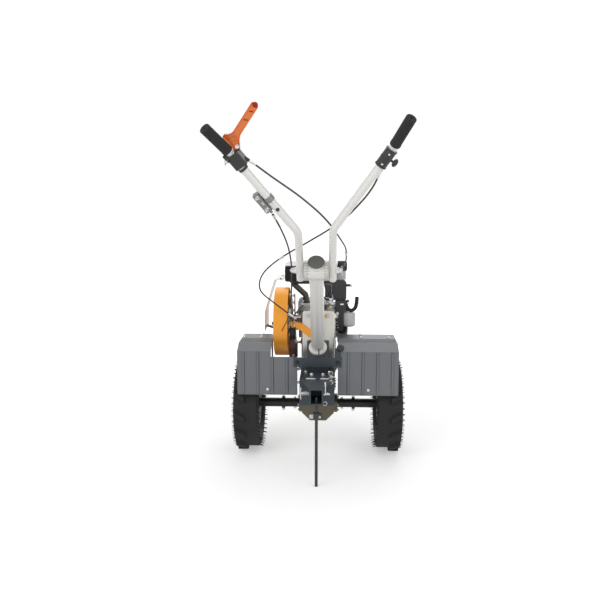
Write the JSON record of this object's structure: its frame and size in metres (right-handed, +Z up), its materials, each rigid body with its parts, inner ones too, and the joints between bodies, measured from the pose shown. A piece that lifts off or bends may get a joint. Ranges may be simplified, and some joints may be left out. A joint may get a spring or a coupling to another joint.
{
  "type": "hand tractor",
  "caption": "Two-wheel walk-behind tractor with an open petrol engine, belt drive, lugged tyres, tilting handlebar, drawbar socket and a sliding depth rod on which it parks.",
  "frame": {"origin": "middle of the footprint of the whole machine's box, on the floor", "axes": "+X to the machine's right, +Y forward toward the engine, +Z up"},
  "size_m": [0.724, 1.3005, 1.3991],
  "materials": {
    "white_paint": "satin",
    "orange_paint": "satin",
    "orange_plastic": "gloss",
    "grey_sheet": "satin",
    "hitch_paint": "satin",
    "black_paint": "satin",
    "case_paint": "painted",
    "lower_case_paint": "cast",
    "engine_alloy": "cast",
    "tank_paint": "gloss",
    "black_plastic": "satin",
    "muffler_black": "matt",
    "soft_rubber": "matt",
    "tyre_rubber": "matt",
    "rim_paint": "satin",
    "plain_steel": "zinc",
    "cap_grey": "satin",
    "cup_clear": "translucent",
    "cable_black": "satin"
  },
  "bodies": {
    "frame": {"gearbox_case": "case_paint", "gearbox_lower_case": "lower_case_paint", "hitch_bracket": "hitch_paint", "cross_plate": "hitch_paint", "column": "white_paint", "column_cap": "cap_grey", "column_head": "plain_steel", "hitch_box": "hitch_paint", "hitch_pin": "plain_steel", "clamp_screw": "plain_steel", "engine_frame": "black_paint", "front_bumper": "black_paint", "engine_block": "engine_alloy", "cylinder": "engine_alloy", "cylinder_head": "engine_alloy", "fuel_tank": "tank_paint", "fuel_cap": "black_plastic", "muffler": "muffler_black", "exhaust_pipe": "muffler_black", "air_filter": "black_plastic", "carburettor": "engine_alloy", "oil_cup": "cup_clear", "tank_rail": "black_paint", "air_duct": "black_plastic", "intake_hose": "soft_rubber", "recoil_starter": "black_plastic", "gearbox_pulley": "plain_steel", "engine_pulley": "plain_steel", "drive_belt": "soft_rubber", "belt_guard": "orange_paint", "guard_cover": "white_paint", "cover_bar": "black_paint", "tension_roller": "plain_steel", "orange_brace": "orange_paint", "tension_arm": "plain_steel", "cable_clutch": "cable_black", "cable_throttle": "cable_black", "cable_tension": "cable_black", "fender_arm_right": "grey_sheet", "fender_arm_left": "grey_sheet", "fender_right": "grey_sheet", "fender_left": "grey_sheet"},
    "wheel_left": {"tyre_left": "tyre_rubber", "rim_left": "rim_paint", "half_axle_left": "black_paint"},
    "wheel_right": {"tyre_right": "tyre_rubber", "rim_right": "rim_paint", "half_axle_right": "black_paint"},
    "handlebar": {"handle_left": "white_paint", "handle_right": "white_paint", "grip_left": "soft_rubber", "grip_right": "soft_rubber", "lever_housing": "black_plastic", "clutch_lever": "orange_plastic", "steel_lever": "plain_steel", "throttle_control": "black_plastic"},
    "depth_rod": {"depth_rod": "plain_steel"}
  },
  "joints": [
    {"name": "wheel_left_roll", "type": "hinge", "parent": "frame", "child": "wheel_left", "pos_m": [-0.309, 0.22925, 0.21], "axis": [1, 0, 0], "continuous": true},
    {"name": "wheel_right_roll", "type": "hinge", "parent": "frame", "child": "wheel_right", "pos_m": [0.309, 0.22925, 0.21], "axis": [1, 0, 0], "continuous": true},
    {"name": "handle_tilt", "type": "hinge", "parent": "frame", "child": "handlebar", "pos_m": [0, -0.27183, 0.85427], "axis": [1, 0, 0], "range_deg": [-10, 30], "deforming": ["cable_clutch", "cable_throttle", "cable_tension"]},
    {"name": "rod_slide", "type": "slide", "parent": "frame", "child": "depth_rod", "axis": [0, 0, 1], "range_m": [0, 0.03]}
  ]
}
